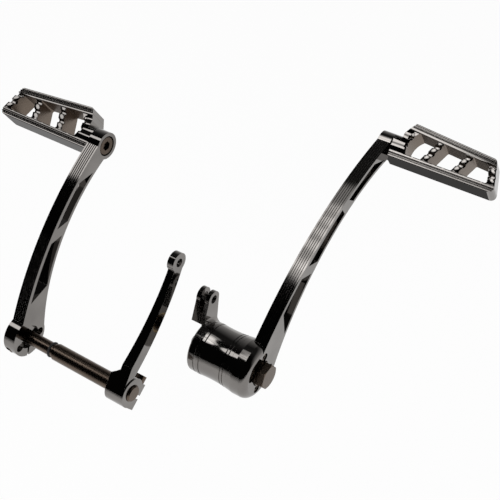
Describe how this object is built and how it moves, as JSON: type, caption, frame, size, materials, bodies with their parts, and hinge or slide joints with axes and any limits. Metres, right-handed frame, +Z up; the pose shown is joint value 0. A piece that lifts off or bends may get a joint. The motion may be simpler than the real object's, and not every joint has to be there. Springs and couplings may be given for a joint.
{
  "type": "motorcycle foot controls",
  "caption": "Left shift lever with cross shaft and rod lever, and right brake pedal with pivot hub, both with curved windowed arms and open-window foot pads.",
  "frame": {"origin": "brake pivot axis at the brake hub's inner end, where the pivot bolt's thread enters the motorcycle", "axes": "+X to the motorcycle's right along the brake pivot, +Y forward, +Z up"},
  "size_m": [0.4319, 0.3444, 0.1801],
  "materials": {
    "black": "machined, polished and plated gloss black",
    "bronze": "dark bronze satin",
    "steel": "ground",
    "rubber": "matte",
    "brass": "sintered"
  },
  "bodies": {
    "pivot": {"pivot_bolt": "bronze", "pivot_collar": "bronze"},
    "brake_pedal": {"brake_arm": "black", "brake_pad": "black", "brake_pad_screw": "bronze", "brake_pad_dowel": "steel", "hub_barrel": "black", "hub_screws": "bronze", "hub_dowels": "steel", "hub_bushing_inner": "brass", "hub_bushing_outer": "brass", "clevis_lever": "black", "clevis_grub_screw": "bronze"},
    "shift_lever": {"shift_arm": "black", "shift_pad": "black", "shift_pad_screw": "bronze", "shift_pad_dowel": "steel", "arm_pinch_screw": "bronze", "shift_shaft": "bronze", "shaft_o_ring": "rubber", "rod_lever": "black", "lever_pinch_screw": "bronze"}
  },
  "joints": [
    {"name": "brake_pivot", "type": "hinge", "parent": "pivot", "child": "brake_pedal", "pos_m": [0, 0, 0], "axis": [1, 0, 0], "range_deg": [-15, 0], "stiffness_Nm_per_rad": 12, "springref_deg": 6.88},
    {"name": "shift_pivot", "type": "hinge", "parent": "pivot", "child": "shift_lever", "pos_m": [-0.1445, -0.0723, -0.0123], "axis": [1, 0, 0], "range_deg": [-12, 12], "stiffness_Nm_per_rad": 8}
  ]
}
